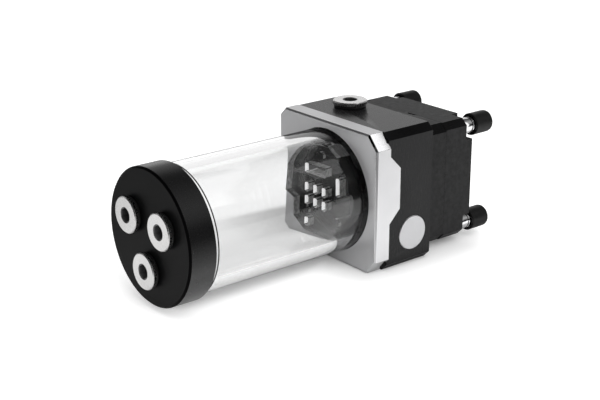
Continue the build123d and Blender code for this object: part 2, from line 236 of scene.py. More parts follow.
noiseRange = (0.3, 0.7)  # where most of a noise's values lie


def spread(tree, value, low, high):
    return mapRange(tree, value, *noiseRange, low, high, "LINEAR")


def noiseIn(tree, place, scale, detail, roughness=0.5, dimensions="3D"):
    # three dimensions of noise are read by a vector, one by a length
    node = nodeIn(tree, "ShaderNodeTexNoise", noise_dimensions=dimensions)
    link(tree, place, node.inputs["Vector" if dimensions == "3D" else "W"])
    for label, value in (("Scale", scale), ("Detail", detail), ("Roughness", roughness)):
        feed(tree, value, node.inputs[label])
    return node.outputs[0]


def newGroup(name, inputs, outputs):
    # each input comes with its default, a vector or a number; each output is a number
    group = bpy.data.node_groups.new(name, "ShaderNodeTree")
    for label, value in inputs.items():
        kind = "NodeSocketVector" if isinstance(value, tuple) else "NodeSocketFloat"
        group.interface.new_socket(name=label, in_out="INPUT", socket_type=kind).default_value = value
    for label in outputs:
        group.interface.new_socket(name=label, in_out="OUTPUT", socket_type="NodeSocketFloat")
    return group, group.nodes.new("NodeGroupInput"), group.nodes.new("NodeGroupOutput")


def buildDirectionalGrain():
    # fine scratches: noise squeezed across the grain and drawn out along it, and a soft cloud beside them
    group, source, sink = newGroup(
        "directionalGrain", {"Vector": (0, 0, 0), "Across": (1, 1, 1), "Lines per metre": 4000.0},
        ("Height", "Cloud"))
    vector, lines = source.outputs["Vector"], source.outputs["Lines per metre"]
    stretch = nodeIn(group, "ShaderNodeVectorMath", operation="MULTIPLY")
    link(group, vector, stretch.inputs[0])
    link(group, source.outputs["Across"], stretch.inputs[1])
    scratches = noiseIn(group, stretch.outputs[0], lines, detail=3, roughness=0.6)
    link(group, scratches, sink.inputs["Height"])
    link(group, noiseIn(group, vector, scale=45, detail=4), sink.inputs["Cloud"])
    return group


def buildTurnedRings():
    # lathe marks: one noise of the radius for the faces, one of the station for the sides
    group, source, sink = newGroup(
        "turnedRings", {"Vector": (0, 0, 0), "Rings per metre": 5000.0}, ("Height",))
    split = nodeIn(group, "ShaderNodeSeparateXYZ")
    link(group, source.outputs["Vector"], split.inputs[0])
    x, y, z = split.outputs
    radius = mathNode(group, "SQRT", mathNode(group, "ADD", product(group, y, y), product(group, z, z)))
    marks = [noiseIn(group, value, source.outputs["Rings per metre"], detail=2, dimensions="1D")
             for value in (radius, x)]
    link(group, mathNode(group, "ADD", *marks), sink.inputs["Height"])
    return group


def buildMouldedSkin():
    # spark-eroded mould texture: cells over soft blotches
    group, source, sink = newGroup(
        "mouldedSkin", {"Vector": (0, 0, 0), "Cells per metre": 2600.0}, ("Height", "Blotch"))
    vector = source.outputs["Vector"]
    link(group, noiseIn(group, vector, source.outputs["Cells per metre"], detail=2), sink.inputs["Height"])
    link(group, noiseIn(group, vector, scale=420, detail=5, roughness=0.65), sink.inputs["Blotch"])
    return group


directionalGrain = buildDirectionalGrain()
turnedRings = buildTurnedRings()
mouldedSkin = buildMouldedSkin()


def newMaterial(name, settings):
    material = bpy.data.materials.new(name)
    material.use_nodes = True
    tree = material.node_tree
    shader = tree.nodes["Principled BSDF"]
    for key, value in settings.items():
        shader.inputs[key].default_value = value
    return material, tree, shader


def objectVector(tree, centre=(0, 0, 0)):
    place = nodeIn(tree, "ShaderNodeTexCoord")
    if not any(centre):
        return place.outputs["Object"]
    shift = nodeIn(tree, "ShaderNodeMapping")
    shift.inputs["Location"].default_value = [-c * mm for c in centre]
    link(tree, place.outputs["Object"], shift.inputs["Vector"])
    return shift.outputs[0]


def objectAxes(tree, centre=(0, 0, 0)):
    # the place in the object as its x, y and z
    split = nodeIn(tree, "ShaderNodeSeparateXYZ")
    link(tree, objectVector(tree, centre), split.inputs[0])
    return split.outputs


def rayKinds(tree):
    return nodeIn(tree, "ShaderNodeLightPath").outputs


def useGroup(tree, group, vector, **values):
    node = nodeIn(tree, "ShaderNodeGroup", node_tree=group)
    link(tree, vector, node.inputs["Vector"])
    for key, value in values.items():
        node.inputs[key.replace("_", " ")].default_value = value
    return node


def grey(level):
    return (level, level, level)


def tint(tree, value, dark, light):
    node = nodeIn(tree, "ShaderNodeMix", data_type="RGBA")
    link(tree, spread(tree, value, 0, 1), node.inputs["Factor"])
    node.inputs["A"].default_value = (*dark, 1)
    node.inputs["B"].default_value = (*light, 1)
    return node.outputs["Result"]


def bump(tree, shader, height, depth):
    node = nodeIn(tree, "ShaderNodeBump")
    node.inputs["Strength"].default_value = 1.0
    node.inputs["Distance"].default_value = depth
    link(tree, height, node.inputs["Height"])
    link(tree, node.outputs[0], shader.inputs["Normal"])


def dimBase(material, keep):
    # scales the base colour that the material already has
    tree = material.node_tree
    target = tree.nodes["Principled BSDF"].inputs["Base Color"]
    colour = target.links[0].from_socket
    dimmer = nodeIn(tree, "ShaderNodeVectorMath", operation="SCALE")
    link(tree, colour, dimmer.inputs[0])
    link(tree, keep, dimmer.inputs["Scale"])
    link(tree, dimmer.outputs[0], target)


def toneAndPolish(tree, shader, tone, dark, light, polish, rough):
    link(tree, tint(tree, tone, dark, light), shader.inputs["Base Color"])
    link(tree, spread(tree, polish, *rough), shader.inputs["Roughness"])


def grainedMaterial(name, settings, dark, light, rough, across, lines, depth):
    material, tree, shader = newMaterial(name, settings)
    grain = useGroup(tree, directionalGrain, objectVector(tree), Across=across, Lines_per_metre=lines)
    toneAndPolish(tree, shader, grain.outputs["Cloud"], dark, light, grain.outputs["Height"], rough)
    bump(tree, shader, grain.outputs["Height"], depth)
    return material


def ringedMaterial(name, settings, dark, light, rough, rings, depth):
    material, tree, shader = newMaterial(name, settings)
    vector = objectVector(tree, axisPoint)
    marks = useGroup(tree, turnedRings, vector, Rings_per_metre=rings)
    grain = useGroup(tree, directionalGrain, vector, Across=(1, 1, 1), Lines_per_metre=900.0)
    toneAndPolish(tree, shader, grain.outputs["Cloud"], dark, light, grain.outputs["Height"], rough)
    bump(tree, shader, marks.outputs["Height"], depth)
    return material


def skinMaterial(name, settings, dark, light, rough, cells, depth):
    material, tree, shader = newMaterial(name, settings)
    skin = useGroup(tree, mouldedSkin, objectVector(tree), Cells_per_metre=cells)
    toneAndPolish(tree, shader, skin.outputs["Blotch"], dark, light, skin.outputs["Blotch"], rough)
    bump(tree, shader, skin.outputs["Height"], depth)
    return material


def glassMaterial(name, dark, light, rough, across, streaks, glare=1.0):
    # drawn acrylic: faint lengthwise streaks in the tone and the polish, and no waves in the surface
    material, tree, shader = newMaterial(name, {
        "IOR": 1.49, "Transmission Weight": 1.0, "Specular Tint": (*grey(glare), 1)})
    grain = useGroup(tree, directionalGrain, objectVector(tree, axisPoint), Across=across,
                     Lines_per_metre=streaks)
    toneAndPolish(tree, shader, grain.outputs["Height"], dark, light, grain.outputs["Cloud"], rough)
    return material


# painted shade along the tube's outline: shares of the colour lost where the wall turns away, low down and
# high up (heights in m)
paintedOutlineShade = {"turned": (0.8, 0.94), "heights": (0.02, 0.05), "low": 0.85, "high": 0.35}


def tubeMaterial():
    # the tube's wall seen edge-on is a thin dark line of painted shade, darker towards the floor
    material = glassMaterial("clearAcrylic", dark=(0.962, 0.964, 0.964), light=(0.995, 0.997, 0.997),
                             rough=(0, 0.012), across=(0.06, 1, 1), streaks=110.0)
    tree = material.node_tree
    facing = nodeIn(tree, "ShaderNodeLayerWeight").outputs["Facing"]
    edge = mapRange(tree, facing, *paintedOutlineShade["turned"], 0.0, 1.0)
    strength = mapRange(tree, objectAxes(tree)[2], *paintedOutlineShade["heights"], paintedOutlineShade["low"],
                        paintedOutlineShade["high"])
    keep = inverse(tree, product(tree, edge, rayKinds(tree)["Is Camera Ray"], strength))
    dimBase(material, keep)
    link(tree, keep, tree.nodes["Principled BSDF"].inputs["Specular Tint"])
    return material


# gloss as made, and the lower gloss painted in as shade on the upper front of the side: heights above the
# axis and places on its front side (m)
capGlossShade = {"full": 0.6, "paintedDull": 0.12, "rise": (0.0265, 0.0305), "side": (-0.002, 0.006)}


def capMaterial():
    # turned black plastic, less glossy on the upper front of its side: painted shade
    material = ringedMaterial("turnedAcetal", {}, dark=(0.004, 0.004, 0.0042), light=(0.005, 0.005, 0.0052),
                              rough=(0.24, 0.28), rings=6500.0, depth=1e-7)
    tree = material.node_tree
    place = objectAxes(tree, axisPoint)
    paintedDull = product(tree, mapRange(tree, place[2], *capGlossShade["rise"], 0.0, 1.0),
                   mapRange(tree, place[1], *capGlossShade["side"], 1.0, 0.0))
    level = mathNode(tree, "MULTIPLY_ADD", paintedDull, capGlossShade["paintedDull"] - capGlossShade["full"], capGlossShade["full"])
    link(tree, level, tree.nodes["Principled BSDF"].inputs["Specular IOR Level"])
    return material


metal = {"Metallic": 1.0}
blasted = {"rough": (0.34, 0.44), "across": (1, 1, 0.03), "lines": 6000.0, "depth": 8e-7}
# mirrored: the share of the tone kept in the painted shade of the upper half, seen in reflections
frontFinish = {"metal": 0.45, "mirrored": 0.25, "heights": (0.022, 0.04)}  # heights over the floor, m


def frontMaterial():
    # blasted silver, its upper half dimmed by painted shade where the clear tube and the plate mirror it
    material = grainedMaterial(
        "frontSilver", {"Metallic": frontFinish["metal"]}, dark=(0.58, 0.58, 0.59),
        light=(0.64, 0.64, 0.65), **blasted)
    tree = material.node_tree
    mirrored = mathNode(tree, "MINIMUM", rayKinds(tree)["Glossy Depth"], 1.0)
    upper = mapRange(tree, objectAxes(tree)[2], *frontFinish["heights"], 0.0, 1.0)
    dimBase(material, mathNode(tree, "MULTIPLY_ADD", product(tree, mirrored, upper),
                               frontFinish["mirrored"] - 1, 1.0))
    return material


# where the edge breaks are painted black as a dark reflection
paintedDarkBreak = {"depth": (0.55, 0.7), "rise": (29.0, 29.4)}  # mm behind the shell's front, above the axis


def edgeMaterial():
    # bright cut silver, black along the edge breaks round the top of the shell's front, a painted dark
    # reflection
    material = grainedMaterial("cutSilver", metal, dark=(0.84, 0.84, 0.85), light=(0.9, 0.9, 0.91),
                               rough=(0.1, 0.16), across=(0.05, 1, 1), lines=5000.0, depth=2e-7)
    tree = material.node_tree
    place = objectAxes(tree)
    stations = [(frontFace + depth) * mm for depth in paintedDarkBreak["depth"]]
    heights = [(axisHeight + rise) * mm for rise in paintedDarkBreak["rise"]]
    dimBase(material, largest(tree, mapRange(tree, place[0], *stations, 0.0, 1.0),
                              mapRange(tree, place[2], *heights, 1.0, 0.0)))
    return material


blackAcetal = grainedMaterial(
    "blackAcetal", {"Specular IOR Level": 0.14}, dark=(0.01, 0.01, 0.0103), light=(0.015, 0.015, 0.0153),
    rough=(0.2, 0.3), across=(1, 0.06, 0.06), lines=5200.0, depth=8e-7)
turnedAcetal = capMaterial()
# painted shade: darker, less glossy black acetal for the chamfers on the block's front side
shadedBlockChamfer = grainedMaterial(
    "shadedBlockChamfer", {"Specular IOR Level": 0.06}, dark=(0.002, 0.002, 0.0021), light=(0.004, 0.004, 0.0041),
    rough=(0.24, 0.34), across=(0.06, 1, 1), lines=5200.0, depth=8e-7)
# painted shade: nearly black, hardly reflecting acetal for the cap's front chamfer
shadedCapChamfer = ringedMaterial(
    "shadedCapChamfer", {"Specular IOR Level": 0.02}, dark=(0.0012, 0.0012, 0.0013),
    light=(0.002, 0.002, 0.0021), rough=(0.3, 0.34), rings=6500.0, depth=1e-7)
facedAcetal = ringedMaterial(
    "facedAcetal", {"Specular IOR Level": 0.05}, dark=(0.004, 0.004, 0.0042), light=(0.005, 0.005, 0.0052),
    rough=(0.34, 0.38), rings=6500.0, depth=2e-7)
satinSilver = grainedMaterial(
    "satinSilver", metal, dark=(0.6, 0.6, 0.61), light=(0.66, 0.66, 0.67), **blasted)
frontSilver = frontMaterial()
# painted light: the satin silver in a lighter tone for the shell's side towards the camera
litSideSilver = grainedMaterial(
    "litSideSilver", metal, dark=(0.69, 0.69, 0.7), light=(0.75, 0.75, 0.76), **blasted)
cutSilver = edgeMaterial()
badgeSilver = grainedMaterial(
    "badgeSilver", metal, dark=(0.54, 0.54, 0.55), light=(0.6, 0.6, 0.61),
    rough=(0.36, 0.46), across=(1, 1, 0.05), lines=6500.0, depth=1.2e-6)
plugNickel = grainedMaterial(
    "plugNickel", metal, dark=(0.66, 0.655, 0.65), light=(0.74, 0.735, 0.73),
    rough=(0.2, 0.32), across=(1, 1, 1), lines=3000.0, depth=6e-7)
# painted shade: a dark material for the recess of each plug's key
shadedSocket = grainedMaterial(
    "shadedSocket", {"Specular IOR Level": 0.6}, dark=grey(0.006), light=grey(0.09),
    rough=(0.25, 0.4), across=(1, 1, 1), lines=2500.0, depth=1e-6)
polishedSteel = grainedMaterial(
    "polishedSteel", metal, dark=(0.78, 0.78, 0.79), light=(0.84, 0.84, 0.85),
    rough=(0.06, 0.12), across=(0.04, 1, 1), lines=3000.0, depth=2e-7)
screwSteel = grainedMaterial(
    "screwSteel", metal, dark=(0.4, 0.4, 0.41), light=(0.5, 0.5, 0.51),
    rough=(0.3, 0.45), across=(1, 1, 1), lines=3000.0, depth=1e-6)
coreSteel = grainedMaterial(
    "coreSteel", metal, dark=(0.3, 0.3, 0.31), light=(0.4, 0.4, 0.41),
    rough=(0.35, 0.5), across=(1, 0.02, 0.02), lines=3000.0, depth=6e-6)
copperWire = grainedMaterial(
    "copperWire", metal, dark=(0.68, 0.33, 0.17), light=(0.78, 0.42, 0.23),
    rough=(0.25, 0.4), across=(1, 0.1, 1), lines=2200.0, depth=4e-5)
mouldedBlack = skinMaterial(
    "mouldedBlack", {"Specular IOR Level": 0.12}, dark=(0.008, 0.008, 0.0082), light=(0.026, 0.026, 0.0264),
    rough=(0.4, 0.6), cells=5600.0, depth=9e-6)
softRubber = skinMaterial(
    "softRubber", {"Specular IOR Level": 0.2}, dark=grey(0.004), light=grey(0.008),
    rough=(0.38, 0.52), cells=2600.0, depth=4e-6)
sealRubber = skinMaterial(
    "sealRubber", {"Specular IOR Level": 0.5}, dark=grey(0.005), light=grey(0.010),
    rough=(0.3, 0.42), cells=3000.0, depth=2e-6)
wheelPlastic = skinMaterial(
    "wheelPlastic", {}, dark=(0.07, 0.07, 0.075), light=(0.09, 0.09, 0.095),
    rough=(0.4, 0.5), cells=3000.0, depth=3e-6)
canPlastic = skinMaterial(
    "canPlastic", {}, dark=(0.04, 0.04, 0.045), light=(0.06, 0.06, 0.065),
    rough=(0.35, 0.5), cells=3000.0, depth=3e-6)
ferrite = skinMaterial(
    "ferrite", {}, dark=grey(0.1), light=grey(0.14), rough=(0.5, 0.65), cells=2400.0, depth=6e-6)
bearingCeramic = skinMaterial(
    "bearingCeramic", {"Coat Weight": 0.3}, dark=(0.86, 0.85, 0.82), light=(0.92, 0.91, 0.88),
    rough=(0.1, 0.18), cells=1500.0, depth=1e-6)
bearingCarbon = skinMaterial(
    "bearingCarbon", {}, dark=grey(0.05), light=grey(0.07), rough=(0.3, 0.45), cells=2500.0, depth=2e-6)
circuitBoard = skinMaterial(
    "circuitBoard", {}, dark=(0.02, 0.16, 0.07), light=(0.035, 0.22, 0.10),
    rough=(0.28, 0.4), cells=1800.0, depth=4e-6)
boardComponents = skinMaterial(
    "boardComponents", {}, dark=grey(0.04), light=grey(0.06), rough=(0.4, 0.55), cells=3000.0, depth=4e-6)
clearAcrylic = tubeMaterial()
cutAcrylic = glassMaterial(
    "cutAcrylic", dark=(0.97, 0.972, 0.972), light=(0.99, 0.992, 0.992),
    rough=(0, 0.004), across=(1, 1, 1), streaks=900.0, glare=0.0)
# sawn, frosted walls and rim of the plate, with a faint painted glow
sawnFaintGlow = skinMaterial(
    "sawnFaintGlow", {"Specular IOR Level": 0.3, "Emission Color": (1, 1, 1, 1), "Emission Strength": 0.03},
    dark=grey(0.08), light=grey(0.9), rough=(0.4, 0.6), cells=520.0, depth=4e-6)
# painted shade: the plate's rim on the camera's side is near black, so the band seen through it stays dark
paintedDarkRim = skinMaterial(
    "paintedDarkRim", {"Specular IOR Level": 0.5}, dark=grey(0.003), light=grey(0.012),
    rough=(0.1, 0.2), cells=900.0, depth=1e-6)
# the painted glow of the plate's sawn walls
glow = {"front": 5.3, "fade": 0.9, "mottle": (0.8, 1.0)}  # mm along the tube where a sawn wall's glow ends


def sawnMaterial():
    # a sawn wall of the clear plate glows with painted light behind its lit face, as if it gathered the
    # light there, and loses it with depth
    material, tree, shader = newMaterial("paintedGlowWall", {
        "Specular IOR Level": 0.3, "Roughness": 0.5, "Emission Strength": 0.55})
    end = glow["front"] + glow["fade"]
    lit = mapRange(tree, objectAxes(tree)[0], glow["front"] * mm, end * mm, 1.0, 0.0)
    skin = useGroup(tree, mouldedSkin, objectVector(tree), Cells_per_metre=900.0)
    lit = product(tree, lit, spread(tree, skin.outputs["Blotch"], *glow["mottle"]))
    link(tree, tint(tree, lit, grey(0.04), grey(0.92)), shader.inputs["Base Color"])
    link(tree, tint(tree, lit, grey(0.01), grey(1)), shader.inputs["Emission Color"])
    return material


paintedGlowWall = sawnMaterial()
print("materials built:", len(bpy.data.materials))


# dressed copies of machined parts
edgeBreaks = {"front_shell": 0.6, "pump_base": 0.14, "pump_flange": 0.12, "pump_housing": 0.16,
              "flow_baffle": 0.05, "end_cap": 0.1, "side_badge": 0.1}  # mm
dressing = {"weld": 1e-6, "flat": 0.6, "sharp": 30, "segments": 2}  # metres, then degrees


def dressedCopy(node, name, material, breakMaterial=None):
    # the node's own surface, welded, with each hard edge broken by a narrow round
    source = frame["nodes"][node]
    mesh = source.data.copy()
    mesh.name = name
    work = bmesh.new()
    work.from_mesh(mesh)
    bmesh.ops.remove_doubles(work, verts=work.verts, dist=dressing["weld"])
    bmesh.ops.dissolve_limit(work, angle_limit=radians(dressing["flat"]), verts=work.verts, edges=work.edges)
    work.to_mesh(mesh)
    work.free()
    mesh.shade_smooth()
    mesh.set_sharp_from_angle(angle=radians(dressing["sharp"]))
    piece = bpy.data.objects.new(name, mesh)
    bpy.context.scene.collection.objects.link(piece)
    rounding = piece.modifiers.new("edgeBreak", "BEVEL")
    rounding.width = edgeBreaks[node] * mm
    rounding.segments = dressing["segments"]
    rounding.limit_method = "ANGLE"
    rounding.angle_limit = radians(dressing["sharp"])
    rounding.harden_normals = True
    rounding.miter_outer = "MITER_ARC"
    finish(piece, source["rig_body"], material, (node,))
    if breakMaterial:
        mesh.materials.append(breakMaterial)
        rounding.material = 1
    return piece


square, slanted = 0.9, 0.4  # share of a face's normal along an axis: square to it, or a chamfer
shellFaces = {"slant": 0.3, "corner": 36, "front": 0.2, "side": -35}  # places in mm, here and below
plateFaces = {"square": 0.95, "outward": 0.6, "inside": 20.5}  # slots within this radius, the rim beyond
blockCorner = 38
capFaces = {"front": -95, "rim": 28}
silverShell = dressedCopy("front_shell", "silverShell", satinSilver, cutSilver)
paintFaces(silverShell, cutSilver, lambda normal, centre, radius: (
    min(abs(normal.y), abs(normal.z)) > shellFaces["slant"] and radius > shellFaces["corner"]))
paintFaces(silverShell, frontSilver, lambda normal, centre, radius: (
    normal.x < -square and centre.x < shellFaces["front"]))
# the shell's side towards the camera gets the painted light
paintFaces(silverShell, litSideSilver, lambda normal, centre, radius: (
    normal.y < -square and centre.y < shellFaces["side"]))
acetalBase = dressedCopy("pump_base", "acetalBase", blackAcetal)
mouldedFlange = dressedCopy("pump_flange", "mouldedFlange", mouldedBlack)
mouldedHousing = dressedCopy("pump_housing", "mouldedHousing", mouldedBlack)
# the chamfers on the block's front side get the painted shade
for piece in (acetalBase, mouldedFlange, mouldedHousing):
    paintFaces(piece, shadedBlockChamfer, lambda normal, centre, radius: (
        normal.y < -slanted and abs(normal.z) > slanted and radius > blockCorner))
clearBaffle = dressedCopy("flow_baffle", "clearBaffle", cutAcrylic)
# the slot walls facing the camera's side get the painted glow
paintFaces(clearBaffle, paintedGlowWall, lambda normal, centre, radius: (
    normal.y < -square and radius < plateFaces["inside"]))
# the other square slot walls and the rim on the far side get the frosted finish with the faint painted glow
paintFaces(clearBaffle, sawnFaintGlow, lambda normal, centre, radius: (
    max(normal.y, abs(normal.z)) > plateFaces["square"] if radius < plateFaces["inside"]
    else normal.y > plateFaces["outward"]))
# the rim on the camera's side gets the painted shade
paintFaces(clearBaffle, paintedDarkRim, lambda normal, centre, radius: (
    normal.y < -plateFaces["outward"] and radius > plateFaces["inside"]))
turnedCap = dressedCopy("end_cap", "turnedCap", turnedAcetal)
paintFaces(turnedCap, facedAcetal, lambda normal, centre, radius: (
    normal.x < -square and centre.x < capFaces["front"]))
# the cap's front chamfer gets the painted shade
paintFaces(turnedCap, shadedCapChamfer, lambda normal, centre, radius: (
    -square < normal.x < -slanted and radius > capFaces["rim"]))
dressedCopy("side_badge", "badgeDisc", badgeSilver)
print("machined parts dressed")


# clear tube
tube = {"outer": 30.0, "inner": 25.0, "start": -95.05, "end": 14.0, "edge": 0.35, "stations": 12,
        "columns": 256}


def clearTube():
    # a ring profile of four rounded corners, with stations along its length, turned about X
    a, b, ro, ri = tube["start"], tube["end"], tube["outer"], tube["inner"]
    stations = np.linspace(a, b, tube["stations"])[1:-1]
    corners = [(a, ri), (a, ro)] + [(s, ro) for s in stations] + [(b, ro), (b, ri)]
    corners += [(s, ri) for s in stations[::-1]]
    profile = roundedProfile(corners, tube["edge"], 3)
    grid = turnedGrid(profile, tube["columns"], (frontFace, 0, axisHeight), "+x")
    return surfacePiece("clearTube", [(grid, True)])


finish(clearTube(), "block", clearAcrylic, ("reservoir_tube",))

# wiper ring on the tube behind the cap
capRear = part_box("end_cap")[1].x / mm
wiper = {"inner": 30.02, "outer": 30.5, "near": 1.9, "far": 2.4, "edge": 0.2}


def capWiper():
    near, far, inner, outer = wiper["near"], wiper["far"], wiper["inner"], wiper["outer"]
    profile = roundedProfile([(near, inner), (near, outer), (far, outer), (far, inner)], wiper["edge"], 3)
    grid = turnedGrid(profile, tube["columns"], (capRear, 0, axisHeight), "+x")
    return surfacePiece("capWiper", [(grid, True)])


finish(capWiper(), "cap", sealRubber)

# port plugs, measured outwards from the face that they screw into
plug = {"head": 8.5, "headLow": 1.5, "headTop": 3.5, "teeth": 84, "toothDepth": 0.2, "perTooth": 4,
        "key": 6.0, "keyDepth": 3.8, "keyMouth": 3.46, "keyDrill": 1.9, "countersink": 3.72,
        "stem": -5.5, "stemTip": 3.0, "stemEdge": 5.3, "crest": 6.5, "root": 5.74, "waist": 5.69,
        "faceOuter": 7.2, "faceInner": 5.5, "pitch": 1.337, "rowsPerTurn": 10, "tipFlat": 0.12,
        "runOut": 0.5, "sharp": 24}


def threadWave(along, angle):
    # triangle wave of the helix: 0 at the root, 1 at the crest, with flattened tips
    turn = (along / plug["pitch"] - angle / tau) % 1.0
    wave = 1 - np.abs(2 * turn - 1)
    return np.clip((wave - plug["tipFlat"]) / (1 - 2 * plug["tipFlat"]), 0, 1)


def threadRows(low, high, angle, root, crest, fade):
    # radius = root + (crest - root) * wave, fading out towards both ends
    rows = np.arange(low, high, plug["pitch"] / plug["rowsPerTurn"])[:, None]
    ends = np.clip(np.minimum(rows - low, high - rows) / fade, 0, 1)
    radius = root + (crest - root) * threadWave(rows, angle) * ends
    return np.broadcast_to(rows, radius.shape), radius


def ringRows(stations, columns):
    # pairs (along, radius) as two grids; a radius is one number or a row that follows the angle
    along = [np.full(columns, a) for a, _ in stations]
    radius = [np.broadcast_to(r, (1, columns))[0] for _, r in stations]
    return np.array(along), np.array(radius)


def plugGrid():
    # rows up the plug from the foot of its stem, over the knurled rim and down into the key:
    # knurl = head - toothDepth * (1 - cos(teeth * angle)) / 2
    # hexagon = key / 2 / cos(angle from the middle of its side)
    columns = plug["teeth"] * plug["perTooth"]
    angle = (np.arange(columns) * tau / columns)[None, :]
    low, top, rim = plug["headLow"], plug["headTop"], plug["head"]
    knurl = rim - plug["toothDepth"] * (0.5 - 0.5 * np.cos(plug["teeth"] * angle))
    hexagon = plug["key"] / 2 / np.cos((angle + tau / 12) % (tau / 6) - tau / 12)
    bottom = top - plug["keyDepth"]
    stem = [(plug["stem"], 0), (plug["stem"], plug["stemTip"]), (plug["stem"], plug["stemEdge"])]
    thread = threadRows(plug["stem"] + 0.35, low - plug["runOut"], angle, plug["root"], plug["crest"],
                        plug["runOut"])
    head = [
        (low - 0.45, plug["waist"]), (low, plug["waist"]), (low, plug["faceOuter"]), (low, rim - 0.42),
        (low + 0.22, rim - 0.26), (low + 0.3, knurl), (low + 0.8, knurl), (top - 0.75, knurl),
        (top - 0.45, knurl), (top - 0.38, rim - 0.24), (top - 0.12, rim - 0.36), (top, rim - 0.5),
        (top, plug["faceOuter"]), (top, plug["faceInner"])]
    key = [
        (top, plug["countersink"] + 0.05), (top - 0.05, plug["countersink"] - 0.05),
        (top - 0.28, np.minimum(hexagon, plug["keyMouth"])), (top - 0.55, hexagon), (top - 2.2, hexagon),
        (bottom + 0.1, hexagon), (bottom, hexagon - 0.12), (bottom, plug["keyDrill"]), (bottom - 0.55, 0)]
    parts = [ringRows(stem, columns), thread, ringRows(head + key, columns)]
    along, radius = (np.concatenate(rows) for rows in zip(*parts))
    return along, radius, np.broadcast_to(angle, radius.shape)


def knurledPlug(name, origin, axis, body, node):
    along, radius, angle = plugGrid()
    grid = turnedPoints(along, radius, angle, origin, axis)
    piece = surfacePiece(name, [(grid, False)], plug["sharp"])
    finish(piece, body, plugNickel, (node,))
    # the key's walls and floor are darkened with painted shade
    piece.data.materials.append(shadedSocket)
    outward, centre = axisFrame(axis)[0], np.array(origin, float)
    floor = plug["headTop"] - plug["keyDepth"] - 1
    for face in piece.data.polygons:
        spot = np.array(face.center) / mm - centre
        up = spot @ outward
        if up > floor and np.linalg.norm(spot - up * outward) < plug["countersink"] - 0.1:
            face.material_index = 1


gasket = {"inner": 6.56, "outer": 7.92, "low": 0.04, "high": 1.46, "power": 2.6, "points": 20, "columns": 96}


def roundGasket(name, origin, axis):
    # superellipse section |u|^2.6 + |v|^2.6 = 1, a washer squeezed until its sides bulge
    t = np.arange(gasket["points"]) * tau / gasket["points"]
    u = np.sign(np.cos(t)) * np.abs(np.cos(t)) ** (2 / gasket["power"])
    v = np.sign(np.sin(t)) * np.abs(np.sin(t)) ** (2 / gasket["power"])
    middle, half = (gasket["inner"] + gasket["outer"]) / 2, (gasket["outer"] - gasket["inner"]) / 2
    height, rise = (gasket["low"] + gasket["high"]) / 2, (gasket["high"] - gasket["low"]) / 2
    grid = turnedGrid(np.stack([height + rise * v, middle + half * u], 1), gasket["columns"], origin, axis)
    return surfacePiece(name, [(grid, True)])


def nodeMiddle(node):
    low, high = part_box(node)
    return (low + high) / 2 / mm


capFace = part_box("end_cap")[0].x / mm
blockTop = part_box("pump_base")[1].z / mm
capPorts = {}
for number in (1, 2, 3):
    middle = nodeMiddle(f"cap_plug_{number}")
    capPorts[number] = (capFace, middle.y, middle.z)
    knurledPlug(f"capPlug{number}", capPorts[number], "-x", f"screw_{number}", f"cap_plug_{number}")
    finish(roundGasket(f"capGasket{number}", capPorts[number], "-x"), f"gasket_{number}", sealRubber,
           (f"cap_plug_gasket_{number}",))
topMiddle = nodeMiddle("top_plug")
topPort = (topMiddle.x, topMiddle.y, blockTop)
knurledPlug("blockPlug", topPort, "+z", "top_screw", "top_plug")
finish(roundGasket("blockGasket", topPort, "+z"), "top_gasket", sealRubber,
       ("top_plug_gasket",))

portThread = {"wall": 6.6, "crest": 5.83, "root": 6.56, "mouth": 0.9, "collar": 0.45, "columns": 192,
              "capDepth": 8.0, "blockDepth": 9.0, "sharp": 40}
outletPort = (frontFace + 26.0, 34.1, axisHeight + 12.9)


def threadLining(name, origin, axis, depth):
    # the same helix as the plugs', a little wider, lining the port from its mouth inwards
    columns, mouth = portThread["columns"], portThread["mouth"]
    angle = (np.arange(columns) * tau / columns)[None, :]
    rows, inner = threadRows(-depth + 0.05, -mouth, angle, portThread["crest"], portThread["root"], mouth)
    wall = np.full((1, columns), portThread["wall"])
    end = rows[-1:] + portThread["collar"]
    along = np.concatenate([rows[:1], rows, end, end])
    radius = np.concatenate([wall, inner, wall - 0.04, wall])
    grid = turnedPoints(along, radius, angle, origin, axis)
    return surfacePiece(name, [(grid, True)], portThread["sharp"])


for number, origin in capPorts.items():
    finish(threadLining(f"capThread{number}", origin, "-x", portThread["capDepth"]), "cap", turnedAcetal)
for name, origin, axis in (("topThread", topPort, "+z"), ("outletThread", outletPort, "+y")):
    finish(threadLining(name, origin, axis, portThread["blockDepth"]), "block", blackAcetal)
print("plugs turned and knurled")

# feet
foot = {"radius": 5.45, "column": 4.0, "bore": 4.05, "front": 71.1, "rear": 82.5, "floor": 7.0,
        "columnStart": 63.9, "columnEnd": 75.5, "lip": 0.05, "groove": 0.22, "chamfer": 0.3,
        "hole": 2.1, "holeDepth": 5.1, "columns": 72}


def atEachFoot(profile):
    low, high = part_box("foot_columns")
    y = high.y / mm - foot["column"]
    z = high.z / mm - axisHeight - foot["column"]
    return [(turnedGrid(profile, foot["columns"], (frontFace, sy * y, axisHeight + sz * z), "+x"), False)
            for sy in (-1, 1) for sz in (-1, 1)]


def rubberFeet():
    # a hollow cup, slightly fuller at its open lip, closed over the column's end
    front, rear, bore, side = foot["front"], foot["rear"], foot["bore"], foot["radius"]
    lip, inside = side + foot["lip"], rear - foot["floor"]
    corners = [(rear, 0), (rear, side - 1.0), (rear - 0.25, side - 0.3), (rear - 1.2, side),
               (front + 2.2, side), (front + 1.2, lip), (front + 0.15, lip), (front, side - 0.25),
               (front, bore + 0.5), (front + 0.5, bore), (inside, bore), (inside, 0)]
    return atEachFoot(roundedProfile(corners, 0.35, 3, closed=False))


